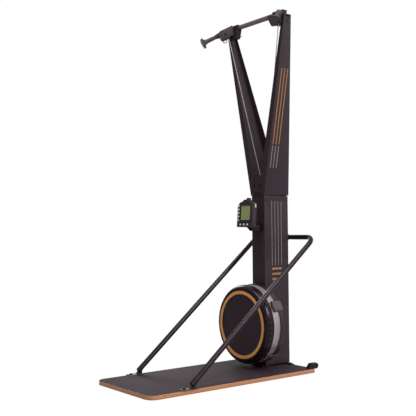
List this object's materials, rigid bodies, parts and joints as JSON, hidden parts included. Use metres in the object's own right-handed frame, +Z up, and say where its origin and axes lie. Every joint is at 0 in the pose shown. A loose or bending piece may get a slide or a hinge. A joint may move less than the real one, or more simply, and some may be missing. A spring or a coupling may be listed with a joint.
{
  "type": "ski trainer",
  "caption": "Standing ski trainer: layered wooden deck, folded steel column with two spread arms, pull handles on cords, round air fan, bracing tube, tilting monitor and transport wheels.",
  "frame": {"origin": "on the floor, under the middle of the outer box", "axes": "+Z up, the user stands on the deck and faces +Y, +X to the user's right"},
  "size_m": [0.799, 1.309, 2.339],
  "materials": {
    "deck_wood": "clear varnish over thin glued layers",
    "grip_sheet": "fine even texture",
    "rubber": "matt",
    "dark_paint": "satin powder coat",
    "cover_paint": "satin powder coat",
    "black_paint": "satin",
    "bar_paint": "satin",
    "zinc": "satin",
    "black_plastic": "satin",
    "grey_plastic": "satin",
    "fan_plastic": "glossy",
    "ring_colour": "satin orange",
    "screen": "green liquid crystal",
    "white_plastic": "smooth",
    "cord": "braided",
    "elastic": "braided"
  },
  "bodies": {
    "frame": {"platform_board": "deck_wood", "grip_sheet": "grip_sheet", "floor_pads": "rubber", "column_front": "dark_paint", "column_rear": "dark_paint", "base_plate": "black_paint", "frame_bolts": "black_paint", "left_side_cover": "cover_paint", "right_side_cover": "cover_paint", "side_cover_screws": "black_paint", "left_arm": "dark_paint", "right_arm": "dark_paint", "arm_bolts": "black_paint", "crossbar": "bar_paint", "left_arm_head": "black_plastic", "right_arm_head": "black_plastic", "left_pulley_housing": "grey_plastic", "right_pulley_housing": "grey_plastic", "guard_loops": "black_paint", "top_pulley_pins": "zinc", "guide_pulley_brackets": "zinc", "left_drive_cord": "cord", "right_drive_cord": "cord", "shaft_bearings": "bar_paint", "return_cords": "elastic", "fan_front_cover": "fan_plastic", "fan_ring": "ring_colour", "fan_cage": "dark_paint", "fan_rear_cover": "fan_plastic", "rim_clamps": "black_paint", "fan_base_bracket": "black_paint", "brace_frame": "black_paint", "brace_feet": "black_paint", "wheel_brackets": "black_paint", "monitor_arm": "black_plastic"},
    "fan": {"fan_shaft": "zinc", "fan_rotor": "grey_plastic"},
    "left_handle": {"left_handle": "black_plastic"},
    "right_handle": {"right_handle": "black_plastic"},
    "left_top_pulley": {"left_top_pulley": "zinc"},
    "right_top_pulley": {"right_top_pulley": "zinc"},
    "left_guide_pulley": {"left_guide_pulley": "zinc"},
    "right_guide_pulley": {"right_guide_pulley": "zinc"},
    "left_drum": {"left_drum": "zinc"},
    "right_drum": {"right_drum": "zinc"},
    "left_return_pulley": {"left_return_pulley": "zinc"},
    "right_return_pulley": {"right_return_pulley": "zinc"},
    "monitor": {"monitor_front": "black_plastic", "monitor_back": "black_plastic", "monitor_screen": "screen"},
    "left_wheel": {"left_wheel": "rubber"},
    "right_wheel": {"right_wheel": "rubber"},
    "button_1": {"button_1": "white_plastic"},
    "button_2": {"button_2": "white_plastic"},
    "button_3": {"button_3": "white_plastic"},
    "button_4": {"button_4": "white_plastic"},
    "button_5": {"button_5": "white_plastic"},
    "button_6": {"button_6": "white_plastic"},
    "button_7": {"button_7": "white_plastic"},
    "button_8": {"button_8": "white_plastic"}
  },
  "joints": [
    {"name": "fan_spin", "type": "hinge", "parent": "frame", "child": "fan", "pos_m": [0, 0.45, 0.313], "axis": [0, 1, 0], "continuous": true},
    {"name": "left_pull", "type": "slide", "parent": "frame", "child": "left_handle", "axis": [0, -0.3, -0.9539], "range_m": [0, 1.3], "stiffness_N_per_m": 8, "springref_m": -1.5},
    {"name": "right_pull", "type": "slide", "parent": "frame", "child": "right_handle", "axis": [0, -0.3, -0.9539], "range_m": [0, 1.3], "stiffness_N_per_m": 8, "springref_m": -1.5},
    {"name": "left_top_turn", "type": "hinge", "parent": "frame", "child": "left_top_pulley", "pos_m": [-0.26725, 0.35491, 2.27171], "axis": [0.783, -0.6086, 0.1282], "range_deg": [0, 4139]},
    {"name": "right_top_turn", "type": "hinge", "parent": "frame", "child": "right_top_pulley", "pos_m": [0.26725, 0.35491, 2.27171], "axis": [0.783, 0.6086, -0.1282], "range_deg": [0, 4139]},
    {"name": "left_guide_turn", "type": "hinge", "parent": "frame", "child": "left_guide_pulley", "pos_m": [0.009, 0.47273, 1.04428], "axis": [0.0089, -0.9966, -0.082], "range_deg": [0, 4656.3]},
    {"name": "right_guide_turn", "type": "hinge", "parent": "frame", "child": "right_guide_pulley", "pos_m": [0.03991, 0.44851, 1.26228], "axis": [0.3636, 0.9316, -0.0048], "range_deg": [0, 4656.3]},
    {"name": "left_drum_turn", "type": "hinge", "parent": "frame", "child": "left_drum", "pos_m": [0, 0.5315, 0.313], "axis": [0, -1, 0], "range_deg": [0, 2980.4]},
    {"name": "right_drum_turn", "type": "hinge", "parent": "frame", "child": "right_drum", "pos_m": [0, 0.4495, 0.313], "axis": [0, -1, 0], "range_deg": [0, 2980.4]},
    {"name": "left_return_turn", "type": "hinge", "parent": "frame", "child": "left_return_pulley", "pos_m": [-0.031, 0.57, 0.925], "axis": [0, 1, 0], "range_deg": [0, 2086.6]},
    {"name": "right_return_turn", "type": "hinge", "parent": "frame", "child": "right_return_pulley", "pos_m": [-0.031, 0.488, 0.925], "axis": [0, 1, 0], "range_deg": [0, 2086.6]},
    {"name": "monitor_tilt", "type": "hinge", "parent": "frame", "child": "monitor", "pos_m": [0, 0.32798, 0.95013], "axis": [-1, 0, 0], "range_deg": [-15, 20]},
    {"name": "button_1_press", "type": "slide", "parent": "monitor", "child": "button_1", "axis": [0, 0.9969, -0.0785], "range_m": [0, 0.0015], "stiffness_N_per_m": 400, "springref_m": -0.001},
    {"name": "button_2_press", "type": "slide", "parent": "monitor", "child": "button_2", "axis": [0, 0.9969, -0.0785], "range_m": [0, 0.0015], "stiffness_N_per_m": 400, "springref_m": -0.001},
    {"name": "button_3_press", "type": "slide", "parent": "monitor", "child": "button_3", "axis": [0, 0.9969, -0.0785], "range_m": [0, 0.0015], "stiffness_N_per_m": 400, "springref_m": -0.001},
    {"name": "button_4_press", "type": "slide", "parent": "monitor", "child": "button_4", "axis": [0, 0.9969, -0.0785], "range_m": [0, 0.0015], "stiffness_N_per_m": 400, "springref_m": -0.001},
    {"name": "button_5_press", "type": "slide", "parent": "monitor", "child": "button_5", "axis": [0, 0.9969, -0.0785], "range_m": [0, 0.0015], "stiffness_N_per_m": 400, "springref_m": -0.001},
    {"name": "button_6_press", "type": "slide", "parent": "monitor", "child": "button_6", "axis": [0, 0.9969, -0.0785], "range_m": [0, 0.0015], "stiffness_N_per_m": 400, "springref_m": -0.001},
    {"name": "button_7_press", "type": "slide", "parent": "monitor", "child": "button_7", "axis": [0, 0.9969, -0.0785], "range_m": [0, 0.0015], "stiffness_N_per_m": 400, "springref_m": -0.001},
    {"name": "button_8_press", "type": "slide", "parent": "monitor", "child": "button_8", "axis": [0, 0.9969, -0.0785], "range_m": [0, 0.0015], "stiffness_N_per_m": 400, "springref_m": -0.001},
    {"name": "left_wheel_roll", "type": "hinge", "parent": "frame", "child": "left_wheel", "pos_m": [-0.274, 0.6335, 0.044], "axis": [1, 0, 0], "continuous": true},
    {"name": "right_wheel_roll", "type": "hinge", "parent": "frame", "child": "right_wheel", "pos_m": [0.274, 0.6335, 0.044], "axis": [1, 0, 0], "continuous": true}
  ],
  "couplings": [
    {"joint": "left_top_turn", "follows": "left_pull", "rad_per_m": 55.556},
    {"joint": "left_guide_turn", "follows": "left_pull", "rad_per_m": 62.5},
    {"joint": "left_drum_turn", "follows": "left_pull", "rad_per_m": 40},
    {"joint": "left_return_turn", "follows": "left_pull", "rad_per_m": 28},
    {"joint": "right_top_turn", "follows": "right_pull", "rad_per_m": 55.556},
    {"joint": "right_guide_turn", "follows": "right_pull", "rad_per_m": 62.5},
    {"joint": "right_drum_turn", "follows": "right_pull", "rad_per_m": 40},
    {"joint": "right_return_turn", "follows": "right_pull", "rad_per_m": 28}
  ]
}
